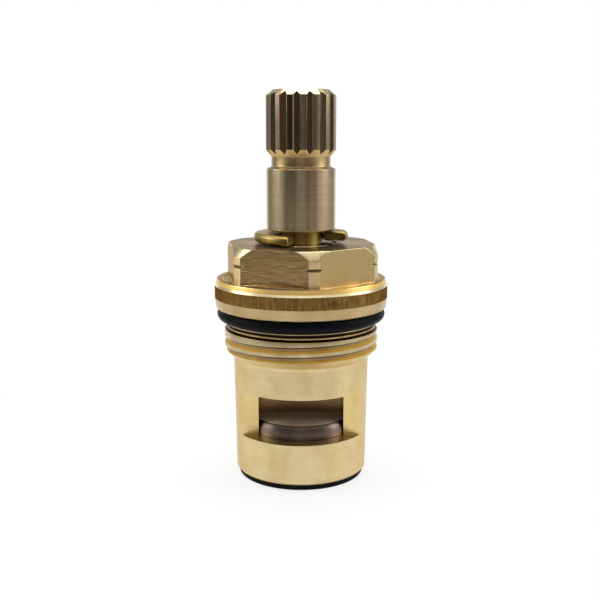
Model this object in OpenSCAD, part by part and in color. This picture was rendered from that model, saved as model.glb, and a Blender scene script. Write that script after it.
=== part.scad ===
// Ceramic disc tap cartridge: brass housing, splined spindle and two ceramic discs.
// The origin is on the axis at the underside of the inlet seal; +Z points along the spindle.
// The front, with the window that is looked into, faces -Y.

/* [Housing] */
// Diameter of the sleeve at its lower end
sleeve_d = 20.6; // [20.2:0.1:21]
// How far the sleeve widens towards the thread, on each side
sleeve_taper = 0.3; // [0:0.05:0.4]
// Bore of the sleeve, which holds the discs
sleeve_bore_d = 16.5; // [16:0.1:16.8]
// Height of the sleeve from its lower end to the window's sill
sill_h = 6.4; // [6.2:0.1:6.6]
// Height of the two windows
window_h = 7.05; // [6:0.05:7.4]
// Distance from the axis to the flat jambs of the windows
jamb_depth = 5; // [4.6:0.1:5.4]
// Height of the plain wall between the windows and the thread's lead-in
head_h = 4.7; // [3.8:0.1:5]
// Chamfer on the sleeve's lower edge
sleeve_chamfer = 0.3; // [0.1:0.05:0.5]

/* [Thread and flange] */
// Outside diameter of the thread
thread_d = 24; // [23.6:0.1:24.4]
// Length of the full thread
thread_len = 4.3; // [3.8:0.1:5]
// Depth of the O-ring groove below the thread's crest
groove_depth = 0.85; // [0.6:0.05:1]
// How far the flange reaches out past the thread, on each side
flange_reach = 1.5; // [1.35:0.05:1.8]
// How far the flange's skirt draws in towards its lower edge, on each side
skirt_taper = 0.2; // [0.1:0.05:0.4]
// Height of the tapered skirt
skirt_h = 1.65; // [1.2:0.05:2]
// Height of the flange's straight rim
rim_h = 2; // [1.5:0.1:2.4]
// Height of the chamfer on top of the flange
flange_chamfer_h = 0.95; // [0.6:0.05:1.1]
// Width of the chamfer on top of the flange
flange_chamfer_w = 0.2; // [0.15:0.05:0.6]

/* [Hexagon] */
// Spanner size across the flats
hex_af = 22; // [21:0.1:22.2]
// Diameter over the turned corners
hex_corner_d = 24.5; // [24.2:0.1:24.8]
// Height of the hexagon
hex_h = 5.35; // [4.8:0.05:6.5]
// Diameter of the flat on top of the hexagon
hex_top_d = 23; // [22.4:0.1:23.6]
// Angle of the chamfer on the corners
hex_chamfer_angle = 60; // [50:1:65]
// Depth of the marking groove turned into the corners
corner_groove_depth = 0.35; // [0.2:0.05:0.6]
// Height of the marking groove
corner_groove_h = 0.45; // [0.3:0.05:0.8]
// Turn of one corner from the front
hex_turn = 9; // [-30:1:30]

/* [Spindle] */
// Diameter of the plain shaft and of the spline
shaft_d = 10.7; // [10.3:0.1:11]
// Length of the plain shaft above the clip
shaft_len = 9.3; // [8:0.1:11]
// Chamfer at the upper end of the plain shaft
shoulder_chamfer = 0.4; // [0.3:0.1:0.8]
// Diameter of the relief groove below the spline
relief_d = 9.1; // [8.8:0.1:9.3]
// Length of the relief groove
relief_len = 1.5; // [1:0.05:2]
// Diameter of the groove for the clip
clip_groove_d = 6.6; // [6:0.1:7]
// Height of the open space for the clip
clip_space_h = 2.1; // [2.1:0.1:2.6]
// Radial gap between the spindle's foot and the sleeve
foot_gap = 0.3; // [0.25:0.05:0.4]
// Thickness of the foot's drive plate
plate_t = 2.7; // [2.6:0.1:2.8]
// Rounding of the drive plate's upper edge
plate_round = 2; // [1:0.1:2]
// Width over the two flats of the drive plate
plate_flats = 13.6; // [13:0.1:14]
// Distance from the axis to the back of the slot milled in the foot
slot_depth = 0; // [-0.5:0.1:1]
// Thickness of the foot's collar
collar_t = 1.4; // [1.2:0.1:1.6]

/* [Spline] */
// Number of teeth
teeth = 16; // [14:1:18]
// Length of the full teeth
spline_len = 8.05; // [7:0.05:10]
// Depth of the grooves between the teeth
tooth_depth = 0.6; // [0.45:0.05:0.65]
// Height of the chamfer below the teeth
spline_lower_chamfer = 1; // [0.8:0.1:1.4]
// Height of the chamfer above the teeth
spline_upper_chamfer = 0.85; // [0.6:0.05:1.2]
// Diameter of the spindle's end face
end_face_d = 8.7; // [8:0.1:9]
// Turn of one tooth from the front
spline_turn = 4; // [-11:1:11]

/* [Clip] */
// Diameter of the clip
clip_d = 14.6; // [13.6:0.1:15.4]
// Bore of the clip
clip_bore_d = 7.2; // [7.1:0.1:7.6]
// Thickness of the clip
clip_t = 1.7; // [1.4:0.1:1.9]
// Opening of the clip, measured at its outer edge
clip_opening = 86; // [70:1:95]
// Slope of each end face against the middle of the opening
clip_end_slope = 43; // [38:1:48]
// Turn of the opening from the front
clip_turn = 27; // [-30:1:30]
// Chamfer on the clip's edges
clip_chamfer = 0.25; // [0.1:0.05:0.4]

/* [Discs] */
// Thickness of the fixed disc
fixed_disc_t = 2.3; // [2.2:0.05:2.4]
// Thickness of the moving disc
moving_disc_t = 2; // [1.9:0.05:2.1]
// Diameter of the moving disc
moving_disc_d = 15.8; // [15.4:0.1:15.9]
// Width over the two flats of the moving disc
moving_disc_flats = 11.2; // [10.8:0.1:11.4]
// Distance between the straight sides of the ports in the fixed disc
port_spacing = 11.6; // [11.5:0.1:12]
// Diameter that the ports reach out to
port_d = 14.8; // [14.4:0.1:14.8]
// Width of the tangs that turn the moving disc
tang_w = 3; // [2.4:0.1:3.4]
// Depth of the tangs in the moving disc
tang_depth = 1.3; // [1:0.1:1.5]
// Width of the lugs that hold the fixed disc
lug_w = 3; // [2.4:0.1:3.6]

/* [Seals] */
// Height of the inlet seal's lip below the sleeve
lip_h = 0.9; // [0.7:0.1:1.2]
// Diameter of the inlet seal's lip
lip_d = 19.8; // [19:0.1:20.2]
// Bore of the inlet seal
inlet_d = 14.8; // [14.8:0.1:15.2]
// Height of the inlet seal's spigot in the sleeve
spigot_h = 1.5; // [1.4:0.05:1.6]
// Rounding of the inlet seal's lower outer edge
lip_round = 0.35; // [0.2:0.05:0.5]
// Section of the flange's O-ring
flange_o_section = 2; // [1.8:0.05:2.05]
// Section of the spindle's O-rings
spindle_o_section = 1.4; // [1.2:0.05:1.5]
// Height of the lower spindle O-ring above the housing's shoulder
lower_o_h = 5; // [3:0.1:6]
// Distance between the two spindle O-rings
o_spacing = 5.5; // [4:0.1:7]
// Thickness of the thrust washer
washer_t = 0.5; // [0.4:0.05:0.7]

/* [Travel] */
// Angle that the spindle turns through from open to shut
travel = 90; // [80:1:95]
// Width of the stop inside the housing, as an angle
stop_angle = 40; // [30:1:45]
// Direction of the stop's middle, seen from above
stop_direction = 222; // [219:1:225]

/* [Fits] */
// Radial running clearance of the spindle
running = 0.05; // [0.03:0.01:0.08]
// Radial clearance left around the rubber rings on the spindle
o_clear = 0.03; // [0.02:0.01:0.04]
// Clearance between pieces that slide together
slip = 0.05; // [0.04:0.01:0.1]
// Room beside the flange's O-ring in its groove, both sides together
groove_play = 0.1; // [0.05:0.05:0.3]
// Film of water between the two ceramic faces
film = 0.02; // [0.02:0.01:0.04]
// Play of the stop at each end of the travel, as an angle
stop_play = 1.5; // [1:0.5:2]

/* [Hidden] */
$fn = 96;

// The flange covers the O-ring, which sits on the floor of its groove next to the thread
flange_r = thread_d / 2 + flange_reach;
skirt_r = flange_r - skirt_taper;
groove_r = thread_d / 2 - groove_depth;
groove_w = flange_o_section + groove_play;

// Heights along the axis, from the bottom up
sleeve_z = lip_h;
fixed_disc_z = sleeve_z + spigot_h;
moving_disc_z = fixed_disc_z + fixed_disc_t + film;
plate_z = moving_disc_z + moving_disc_t;
floor_z = plate_z + plate_t;
plate_rim_z = floor_z - plate_round;
sill_z = sleeve_z + sill_h;
head_z = sill_z + window_h;
// Height of the foot's collar above the windows
collar_gap = 0.5;
collar_z = head_z + collar_gap;
washer_z = collar_z + collar_t;
shoulder_z = washer_z + washer_t + slip;
lead_z = head_z + head_h;
sleeve_top_r = sleeve_d / 2 + sleeve_taper;
lead_h = thread_d / 2 - sleeve_top_r;
thread_z = lead_z + lead_h;
groove_z = thread_z + thread_len;
skirt_z = groove_z + groove_w;
rim_z = skirt_z + skirt_h;
flange_chamfer_z = rim_z + rim_h;
flange_top_z = flange_chamfer_z + flange_chamfer_h;
hex_top_z = flange_top_z + hex_h;
clip_z = hex_top_z + slip;
shaft_z = hex_top_z + clip_space_h;
shaft_top_z = shaft_z + shaft_len;
relief_z = shaft_top_z + shoulder_chamfer;
spline_chamfer_z = relief_z + relief_len;
spline_z = spline_chamfer_z + spline_lower_chamfer;
spline_top_z = spline_z + spline_len;
end_z = spline_top_z + spline_upper_chamfer;

// Radii and places worked out from the sizes above
shaft_r = shaft_d / 2;
spindle_bore_r = shaft_r + running;
foot_r = sleeve_bore_d / 2 - foot_gap;
o_outer_r = spindle_bore_r - o_clear;
o_floor_r = o_outer_r - spindle_o_section;
// Width of the O-ring grooves as a multiple of the ring's section
o_groove_share = 1.3;
o_groove_w = o_groove_share * spindle_o_section;
lower_o_z = shoulder_z + lower_o_h;
upper_o_z = lower_o_z + o_spacing;
// How far the thrust washer reaches past the bore, and the stop's distance from it
washer_reach = 1.15;
stop_gap = 0.2;
washer_r = spindle_bore_r + washer_reach;
stop_inner_r = washer_r + stop_gap;
notch_inner_r = stop_inner_r - foot_gap;
// Distances of a tang's two sides from the axis, and the room under the tangs
tang_inner = 4.4;
tang_outer = 6.4;
tang_slip = 3 * slip;
// Depth of the slots for the fixed disc's lugs in the sleeve's wall
lug_depth = 0.9;
lug_reach = sleeve_bore_d / 2 + lug_depth;
corner_groove_z = flange_top_z + hex_h / 2;
// Small chamfer on turned edges
edge_break = 0.2;
// Overshoot of cutting shapes past the faces they cut
over = 1;
brass = [0.80, 0.66, 0.38];
dark_brass = [0.70, 0.57, 0.34];
rubber = [0.03, 0.03, 0.03];
ceramic = [0.90, 0.88, 0.83];
white_plastic = [0.93, 0.93, 0.91];

// Wedge about the axis between two angles, less than 180 degrees apart
module wedge(from, to, reach, z, h) {
  middle = (from + to) / 2;
  long = reach / cos((to - from) / 4);
  translate([0, 0, z])
    linear_extrude(h)
      polygon([[0, 0],
               reach * [cos(from), sin(from)],
               long * [cos(middle), sin(middle)],
               reach * [cos(to), sin(to)]]);
}

// Slab that lies beyond a plane facing -Y, at the given distance from the axis
module slab_behind(distance, reach, z, h) {
  translate([-reach, distance, z])
    cube([2 * reach, reach, h]);
}

// Round bar with two flats that face -X and X
module bar_with_flats(r, flats, z, h) {
  translate([0, 0, z])
    intersection() {
      cylinder(r = r, h = h);
      translate([-flats / 2, -r - over, 0])
        cube([flats, 2 * (r + over), h]);
    }
}

// Rubber ring of round section
module o_ring(outer_r, section, z) {
  color(rubber)
    translate([0, 0, z])
      rotate_extrude()
        translate([outer_r - section / 2, 0])
          circle(d = section, $fn = 48);
}

// Outside of the sleeve, thread, O-ring groove and flange
module turned_outside() {
  rotate_extrude()
    polygon([[0, sleeve_z],
             [sleeve_d / 2 - sleeve_chamfer, sleeve_z],
             [sleeve_d / 2, sleeve_z + sleeve_chamfer],
             [sleeve_top_r, lead_z],
             [thread_d / 2, thread_z],
             [thread_d / 2, groove_z - edge_break],
             [thread_d / 2 - edge_break, groove_z],
             [groove_r, groove_z],
             [groove_r, skirt_z],
             [skirt_r - edge_break, skirt_z],
             [skirt_r, skirt_z + edge_break],
             [flange_r, rim_z],
             [flange_r, flange_chamfer_z],
             [flange_r - flange_chamfer_w, flange_top_z],
             [0, flange_top_z]]);
}

// Hexagon with turned corners, a chamfered top and a groove round the corners
module hexagon() {
  chamfer_h = (hex_corner_d - hex_top_d) / 2 * tan(hex_chamfer_angle);
  corner_r = hex_corner_d / 2;
  // The groove is cut into the corner, or into the chamfer where that reaches down to it
  groove_r = min(corner_r, hex_top_d / 2 + (hex_top_z - corner_groove_z) / tan(hex_chamfer_angle));
  intersection() {
    translate([0, 0, flange_chamfer_z])
      rotate([0, 0, hex_turn - 90])
        cylinder(d = hex_af / cos(30), h = hex_top_z - flange_chamfer_z, $fn = 6);
    rotate_extrude()
      difference() {
        polygon([[0, flange_chamfer_z],
                 [corner_r, flange_chamfer_z],
                 [corner_r, hex_top_z - chamfer_h],
                 [hex_top_d / 2, hex_top_z],
                 [0, hex_top_z]]);
        polygon([[groove_r - corner_groove_depth, corner_groove_z],
                 [groove_r + corner_groove_depth, corner_groove_z - corner_groove_h],
                 [groove_r + corner_groove_depth, corner_groove_z + corner_groove_h]]);
      }
  }
}

// Stop that limits the spindle's turn, standing in the top of the sleeve's bore
module stop() {
  difference() {
    wedge(stop_direction - stop_angle / 2, stop_direction + stop_angle / 2,
          sleeve_bore_d, collar_z, shoulder_z - collar_z + over);
    translate([0, 0, collar_z - over])
      cylinder(r = stop_inner_r, h = shoulder_z - collar_z + 3 * over);
  }
}

// Brass body: spanner hexagon, flange, threaded neck and windowed sleeve
module housing() {
  color(brass)
    difference() {
      union() {
        turned_outside();
        hexagon();
      }
      difference() {
        translate([0, 0, sleeve_z - over])
          cylinder(d = sleeve_bore_d, h = shoulder_z - sleeve_z + over);
        stop();
      }
      translate([0, 0, sleeve_z])
        cylinder(r = spindle_bore_r, h = end_z);
      translate([0, 0, hex_top_z - edge_break])
        cylinder(r1 = spindle_bore_r, r2 = spindle_bore_r + 2 * edge_break, h = 2 * edge_break);
      for (side = [0, 180])
        rotate([0, 0, side]) {
          slab_behind(jamb_depth, sleeve_d, sill_z, window_h);
          translate([-lug_w / 2 - slip, 0, sleeve_z - over])
            cube([lug_w + 2 * slip, lug_reach + slip, spigot_h + fixed_disc_t + over]);
        }
    }
}

// Round stock of the spindle with its grooves and chamfers
module turned_spindle() {
  rotate_extrude()
    polygon([[0, plate_z],
             [foot_r, plate_z],
             [foot_r, washer_z],
             [shaft_r, washer_z],
             [shaft_r, lower_o_z - o_groove_w / 2],
             [o_floor_r, lower_o_z - o_groove_w / 2],
             [o_floor_r, lower_o_z + o_groove_w / 2],
             [shaft_r, lower_o_z + o_groove_w / 2],
             [shaft_r, upper_o_z - o_groove_w / 2],
             [o_floor_r, upper_o_z - o_groove_w / 2],
             [o_floor_r, upper_o_z + o_groove_w / 2],
             [shaft_r, upper_o_z + o_groove_w / 2],
             [shaft_r, hex_top_z - edge_break],
             [shaft_r - edge_break, hex_top_z],
             [clip_groove_d / 2, hex_top_z],
             [clip_groove_d / 2, shaft_z],
             [shaft_r - edge_break, shaft_z],
             [shaft_r, shaft_z + edge_break],
             [shaft_r, shaft_top_z],
             [relief_d / 2, relief_z],
             [relief_d / 2, spline_chamfer_z],
             [shaft_r, spline_z],
             [shaft_r, spline_top_z],
             [end_face_d / 2, end_z],
             [0, end_z]]);
}

// Square-cornered grooves between the teeth
module tooth_grooves() {
  reach = 2 * tooth_depth;
  for (i = [0 : teeth - 1])
    rotate([0, 0, spline_turn - 90 + (i + 0.5) * 360 / teeth])
      translate([shaft_r - tooth_depth, 0, spline_chamfer_z])
        rotate([0, 0, -45])
          cube([reach, reach, end_z - spline_chamfer_z + over]);
}

// Brass spindle with its splined end, plain shaft and slotted foot
module spindle() {
  notch_from = stop_direction - stop_angle / 2 - stop_play;
  notch_to = stop_direction + stop_angle / 2 + travel + stop_play;
  color(dark_brass) {
    difference() {
      turned_spindle();
      tooth_grooves();
      // Slot milled across the foot, which leaves the drive plate on a rear web
      difference() {
        rotate_extrude()
          difference() {
            translate([0, plate_rim_z])
              square([foot_r + over, collar_z - plate_rim_z]);
            translate([0, plate_rim_z - over])
              square([foot_r - plate_round, plate_round + over]);
            translate([foot_r - plate_round, plate_rim_z])
              circle(r = plate_round);
          }
        slab_behind(slot_depth, sleeve_d, plate_rim_z - over, collar_z);
      }
      // Room for the stop in the collar
      difference() {
        wedge(notch_from, notch_to, sleeve_d, collar_z - over, collar_t + 2 * over);
        translate([0, 0, collar_z - 2 * over])
          cylinder(r = notch_inner_r, h = collar_t + 4 * over);
      }
      // Flats on the drive plate that let the water past
      for (side = [0, 180])
        rotate([0, 0, side])
          translate([plate_flats / 2, -sleeve_d, plate_z - over])
            cube([sleeve_d, 2 * sleeve_d, plate_t + over]);
    }
    for (side = [0, 180])
      rotate([0, 0, side])
        translate([-tang_w / 2, tang_inner, plate_z - tang_depth])
          cube([tang_w, tang_outer - tang_inner, tang_depth + (plate_t - plate_round) / 2]);
  }
}

// Flat C-clip that keeps the spindle from dropping out of the housing
module retaining_clip() {
  outer_r = clip_d / 2;
  inner_r = clip_bore_d / 2;
  half = clip_opening / 2;
  apex = outer_r * cos(half) - outer_r * sin(half) / tan(clip_end_slope);
  reach = 2 * outer_r;
  color(brass)
    translate([0, 0, clip_z])
      difference() {
        rotate_extrude()
          polygon([[inner_r, 0],
                   [outer_r - clip_chamfer, 0],
                   [outer_r, clip_chamfer],
                   [outer_r, clip_t - clip_chamfer],
                   [outer_r - clip_chamfer, clip_t],
                   [inner_r, clip_t]]);
        rotate([0, 0, clip_turn])
          translate([0, -apex, -over])
            linear_extrude(clip_t + 2 * over)
              polygon([[0, 0],
                       reach * [-sin(clip_end_slope), -cos(clip_end_slope)],
                       reach * [sin(clip_end_slope), -cos(clip_end_slope)]]);
      }
}

// Rubber ring that seals the flange on the tap
module flange_o_ring() {
  o_ring(groove_r + flange_o_section, flange_o_section, groove_z + groove_w / 2);
}

// Upper rubber ring on the spindle
module upper_spindle_o_ring() {
  o_ring(o_outer_r, spindle_o_section, upper_o_z);
}

// Lower rubber ring on the spindle
module lower_spindle_o_ring() {
  o_ring(o_outer_r, spindle_o_section, lower_o_z);
}

// Washer that the spindle's collar turns against
module thrust_washer() {
  color(white_plastic)
    translate([0, 0, washer_z + slip])
      difference() {
        cylinder(r = washer_r, h = washer_t);
        translate([0, 0, -over])
          cylinder(r = spindle_bore_r + foot_gap, h = washer_t + 2 * over);
      }
}

// Ceramic disc that turns with the spindle and covers the ports
module moving_disc() {
  color(ceramic)
    difference() {
      bar_with_flats(moving_disc_d / 2, moving_disc_flats, moving_disc_z, moving_disc_t);
      for (side = [0, 180])
        rotate([0, 0, side])
          translate([-tang_w / 2 - slip, tang_inner - slip, plate_z - tang_depth - tang_slip])
            cube([tang_w + 2 * slip, tang_outer - tang_inner + 2 * slip, tang_depth + over]);
    }
}

// Ceramic disc that stays still, with two ports and two lugs
module fixed_disc() {
  color(ceramic)
    translate([0, 0, fixed_disc_z])
      difference() {
        union() {
          cylinder(r = sleeve_bore_d / 2 - slip, h = fixed_disc_t);
          translate([-lug_w / 2, -lug_reach, 0])
            cube([lug_w, 2 * lug_reach, fixed_disc_t]);
        }
        for (side = [0, 180])
          rotate([0, 0, side])
            intersection() {
              translate([0, 0, -over])
                cylinder(d = port_d, h = fixed_disc_t + 2 * over);
              translate([port_spacing / 2, -port_d, -over])
                cube([port_d, 2 * port_d, fixed_disc_t + 2 * over]);
            }
      }
}

// Rubber seal between the sleeve's end and the seat in the tap
module inlet_seal() {
  color(rubber)
    rotate_extrude() {
      translate([inlet_d / 2, lip_round])
        square([(lip_d - inlet_d) / 2, lip_h - lip_round]);
      translate([inlet_d / 2, 0])
        square([(lip_d - inlet_d) / 2 - lip_round, lip_h]);
      translate([lip_d / 2 - lip_round, lip_round])
        circle(r = lip_round, $fn = 32);
      translate([inlet_d / 2, 0])
        square([(sleeve_bore_d - inlet_d) / 2, lip_h + spigot_h]);
    }
}

housing();
spindle();
retaining_clip();
flange_o_ring();
upper_spindle_o_ring();
lower_spindle_o_ring();
thrust_washer();
moving_disc();
fixed_disc();
inlet_seal();
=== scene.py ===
import math

import bmesh
import bpy
from mathutils import Matrix, Vector


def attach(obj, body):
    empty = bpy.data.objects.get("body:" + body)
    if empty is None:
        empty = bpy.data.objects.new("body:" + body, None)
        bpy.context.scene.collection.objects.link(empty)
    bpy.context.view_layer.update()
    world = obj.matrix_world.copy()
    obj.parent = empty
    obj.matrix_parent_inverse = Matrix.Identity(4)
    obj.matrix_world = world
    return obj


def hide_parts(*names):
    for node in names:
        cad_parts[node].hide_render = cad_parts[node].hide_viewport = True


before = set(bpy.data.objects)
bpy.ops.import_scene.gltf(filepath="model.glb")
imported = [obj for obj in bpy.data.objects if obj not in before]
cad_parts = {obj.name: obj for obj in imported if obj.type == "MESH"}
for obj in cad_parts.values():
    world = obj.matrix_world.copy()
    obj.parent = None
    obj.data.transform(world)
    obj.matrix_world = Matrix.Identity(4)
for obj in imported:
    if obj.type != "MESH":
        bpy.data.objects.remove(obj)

# Tap cartridge in bare brass. Meshes are modelled in millimetres and scaled to metres at the end.
for leftover in ("Cube", "Light", "Camera"):
    if leftover in bpy.data.objects:
        bpy.data.objects.remove(bpy.data.objects[leftover])
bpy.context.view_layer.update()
scene = bpy.context.scene
scene.view_settings.view_transform = "Standard"
millimetre = 0.001


# Small mesh helpers

def newPiece(name, mesh):
    piece = bpy.data.objects.new(name, mesh)
    scene.collection.objects.link(piece)
    return piece


def settle(piece):
    # turns the evaluated modifiers into a plain mesh
    bpy.context.view_layer.update()
    shown = piece.evaluated_get(bpy.context.evaluated_depsgraph_get())
    plain = bpy.data.meshes.new_from_object(shown)
    old = piece.data
    piece.modifiers.clear()
    piece.data = plain
    plain.name = piece.name
    bpy.data.meshes.remove(old)


def meshFrom(name, points, faces):
    build = bmesh.new()
    corners = [build.verts.new(p) for p in points]
    for face in faces:
        build.faces.new([corners[i] for i in face])
    bmesh.ops.remove_doubles(build, verts=build.verts, dist=1e-5)
    bmesh.ops.recalc_face_normals(build, faces=build.faces)
    mesh = bpy.data.meshes.new(name)
    build.to_mesh(mesh)
    build.free()
    return newPiece(name, mesh)


def softOutline(corners, steps=4):
    # corners are (radius, height) or (radius, height, rounding)
    largestShare = 0.48   # of a side, for one rounding
    path = []
    for i, corner in enumerate(corners):
        here = Vector(corner[:2])
        if len(corner) == 2:
            path.append(here)
            continue
        before = Vector(corners[i - 1][:2]) - here
        after = Vector(corners[i + 1][:2]) - here
        half = before.angle(after) / 2
        reach = min(corner[2] / math.tan(half), largestShare * before.length, largestShare * after.length)
        radius = reach * math.tan(half)
        middle = here + (before.normalized() + after.normalized()).normalized() * (radius / math.sin(half))
        first = here + before.normalized() * reach - middle
        last = here + after.normalized() * reach - middle
        sweep = first.angle_signed(last)
        for k in range(steps + 1):
            turn = -sweep * k / steps
            path.append(middle + Matrix.Rotation(turn, 2) @ first)
    return path


def lathe(name, outline, sides=192, closed=False):
    count = len(outline)
    points, faces = [], []
    for k in range(sides):
        a = 2 * math.pi * k / sides
        points += [(p[0] * math.cos(a), p[0] * math.sin(a), p[1]) for p in outline]
    for k in range(sides):
        here, there = k * count, (k + 1) % sides * count
        for i in range(count if closed else count - 1):
            j = (i + 1) % count
            ring = [here + i, there + i, there + j, here + j]
            if not closed and i == 0:
                ring = [here + i, there + j, here + j]
            elif not closed and j == count - 1:
                ring = [here + i, there + i, here + j]
            faces.append(ring)
    return meshFrom(name, points, faces)


def block(name, low, high):
    points = [(x, y, z) for x in (low[0], high[0]) for y in (low[1], high[1]) for z in (low[2], high[2])]
    sides = [(0, 1, 3, 2), (4, 6, 7, 5), (0, 4, 5, 1), (2, 3, 7, 6), (0, 2, 6, 4), (1, 5, 7, 3)]
    return meshFrom(name, points, sides)


def sector(name, fromAngle, toAngle, inner, outer, low, high, steps=24):
    points, faces = [], []
    for k in range(steps + 1):
        a = math.radians(fromAngle + (toAngle - fromAngle) * k / steps)
        points += [(r * math.cos(a), r * math.sin(a), z) for r, z in
                   ((inner, low), (outer, low), (outer, high), (inner, high))]
    for k in range(steps):
        for i in range(4):
            j = (i + 1) % 4
            faces.append((4 * k + i, 4 * k + 4 + i, 4 * k + 4 + j, 4 * k + j))
    last = 4 * steps
    faces += [(0, 1, 2, 3), (last + 3, last + 2, last + 1, last)]
    return meshFrom(name, points, faces)


def carve(piece, tool, operation="DIFFERENCE"):
    cut = piece.modifiers.new("carve", "BOOLEAN")
    cut.object = tool
    cut.operation = operation
    cut.solver = "EXACT"
    settle(piece)
    bpy.data.objects.remove(tool)


def breakEdges(piece, width, angle=28):
    edge = piece.modifiers.new("breakEdges", "BEVEL")
    edge.limit_method = "ANGLE"
    edge.angle_limit = math.radians(angle)
    edge.width = width
    edge.segments = 2
    edge.use_clamp_overlap = False
    settle(piece)


def toMetres(piece, angle=34):
    piece.data.transform(Matrix.Scale(millimetre, 4))
    for face in piece.data.polygons:
        face.use_smooth = True
    piece.data.set_sharp_from_angle(angle=math.radians(angle))
    even = piece.modifiers.new("evenNormals", "WEIGHTED_NORMAL")
    even.mode = "FACE_AREA"
    even.keep_sharp = True
    settle(piece)


# Node helpers, then Geometry Nodes: a tree with named inputs, run on a piece and settled

def feed(tree, sockets, values):
    # links each value that comes from a node, and sets the others
    for socket, value in zip(sockets, values):
        if isinstance(value, bpy.types.NodeSocket):
            tree.links.new(value, socket)
        else:
            socket.default_value = value


def addMath(tree, operation, first, second=0.0):
    step = tree.nodes.new("ShaderNodeMath")
    step.operation = operation
    feed(tree, step.inputs, (first, second))
    return step.outputs[0]


def addPoint(tree, x=0.0, y=0.0, z=0.0):
    point = tree.nodes.new("ShaderNodeCombineXYZ")
    feed(tree, point.inputs, (x, y, z))
    return point.outputs[0]


def addVector(tree, operation, first, second=(0, 0, 0)):
    step = tree.nodes.new("ShaderNodeVectorMath")
    step.operation = operation
    feed(tree, (step.inputs[0], step.inputs["Scale" if operation == "SCALE" else 1]), (first, second))
    return step.outputs["Value" if operation == "LENGTH" else "Vector"]


def addRange(tree, value, fromLow, fromHigh, low, high, smooth=False):
    span = tree.nodes.new("ShaderNodeMapRange")
    span.interpolation_type = "SMOOTHSTEP" if smooth else "LINEAR"
    feed(tree, span.inputs, (value, fromLow, fromHigh, low, high))
    return span.outputs["Result"]


def addTurn(tree, geometry, angle, height=0.0):
    # turns the geometry about the axis and lifts it
    turn = tree.nodes.new("FunctionNodeAxisAngleToRotation")
    feed(tree, turn.inputs, ((0, 0, 1), angle))
    move = tree.nodes.new("GeometryNodeTransform")
    tree.links.new(geometry, move.inputs["Geometry"])
    tree.links.new(turn.outputs["Rotation"], move.inputs["Rotation"])
    tree.links.new(addPoint(tree, z=height), move.inputs["Translation"])
    return move.outputs["Geometry"]


def makeTree(name, inputs):
    tree = bpy.data.node_groups.new(name, "GeometryNodeTree")
    tree.interface.new_socket("Geometry", in_out="INPUT", socket_type="NodeSocketGeometry")
    for label, kind in inputs:
        tree.interface.new_socket(label, in_out="INPUT", socket_type=kind)
    tree.interface.new_socket("Geometry", in_out="OUTPUT", socket_type="NodeSocketGeometry")
    return tree, tree.nodes.new("NodeGroupInput"), tree.nodes.new("NodeGroupOutput")


def runTree(piece, tree, values):
    run = piece.modifiers.new(tree.name, "NODES")
    run.node_group = tree
    for item in tree.interface.items_tree:
        if item.in_out == "INPUT" and item.name in values:
            run[item.identifier] = values[item.name]
    settle(piece)


def finishTree(tree, given, tool, end, overlapping=False):
    # cuts the tool from the piece
    cut = tree.nodes.new("GeometryNodeMeshBoolean")
    cut.operation = "DIFFERENCE"
    cut.solver = "EXACT"
    cut.inputs["Self Intersection"].default_value = overlapping
    coat = tree.nodes.new("GeometryNodeSetMaterial")
    tree.links.new(given.outputs["Geometry"], cut.inputs["Mesh 1"])
    tree.links.new(tool, cut.inputs["Mesh 2"])
    tree.links.new(cut.outputs["Mesh"], coat.inputs["Geometry"])
    tree.links.new(given.outputs["Material"], coat.inputs["Material"])
    tree.links.new(coat.outputs["Geometry"], end.inputs["Geometry"])


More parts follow.
